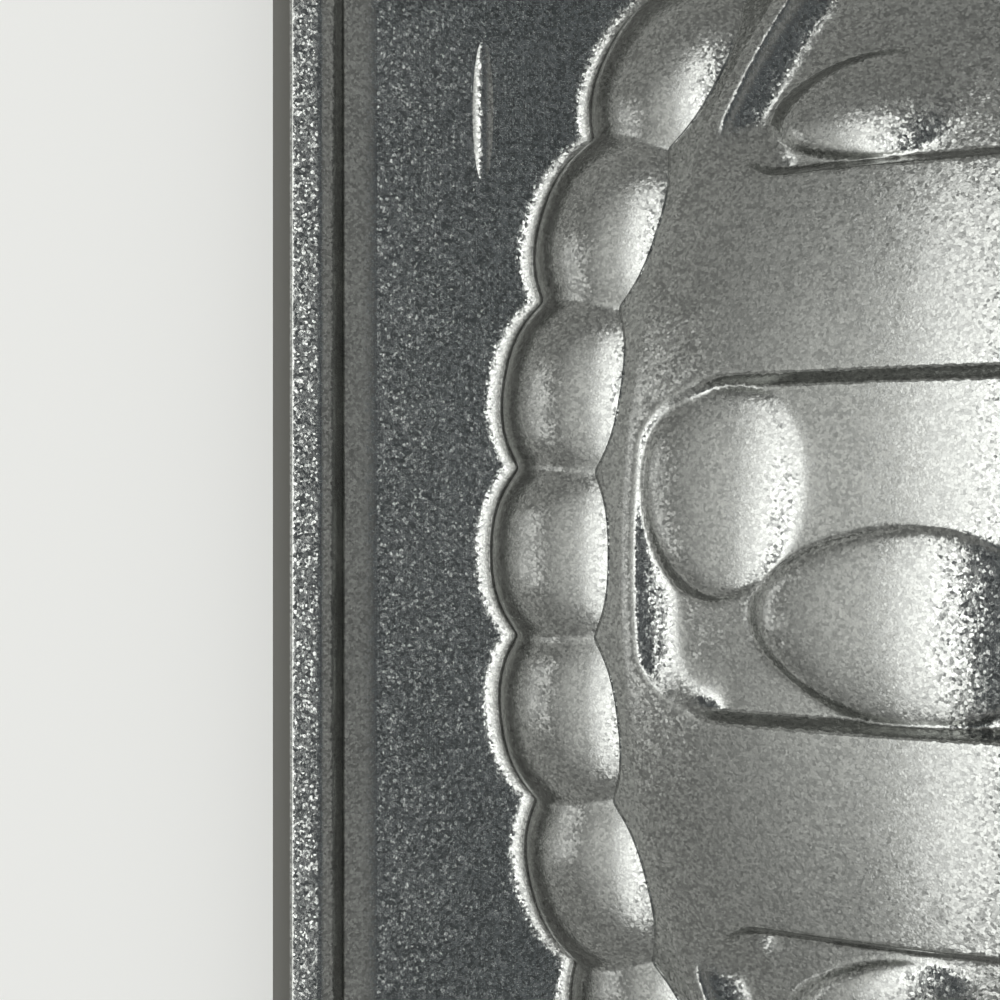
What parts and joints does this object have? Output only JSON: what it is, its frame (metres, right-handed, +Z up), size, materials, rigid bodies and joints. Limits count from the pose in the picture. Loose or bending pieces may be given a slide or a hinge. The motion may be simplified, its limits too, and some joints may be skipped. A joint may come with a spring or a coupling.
{
  "type": "egg muffin pan",
  "caption": "Cast aluminium muffin pan with egg-shaped wells ringed by beads and banded with small raised eggs, resting upside down on its flat flange.",
  "frame": {"origin": "centre of the pan on the plane that its flange rests on, upside down as pictured", "axes": "+Z up from the table through the crowns of the egg wells, +Y along the pan towards the blunt ends of the eggs, +X across the pan to the right in the picture"},
  "size_m": [0.1968, 0.3736, 0.0219],
  "materials": {
    "silver_coat": "satin silver coat with fine bright flakes over cast aluminium"
  },
  "bodies": {
    "root": {"plate": "silver_coat", "edge_lip": "silver_coat", "egg_well_1": "silver_coat", "egg_well_2": "silver_coat", "egg_well_3": "silver_coat", "egg_well_4": "silver_coat", "egg_well_5": "silver_coat", "egg_well_6": "silver_coat"}
  },
  "joints": []
}
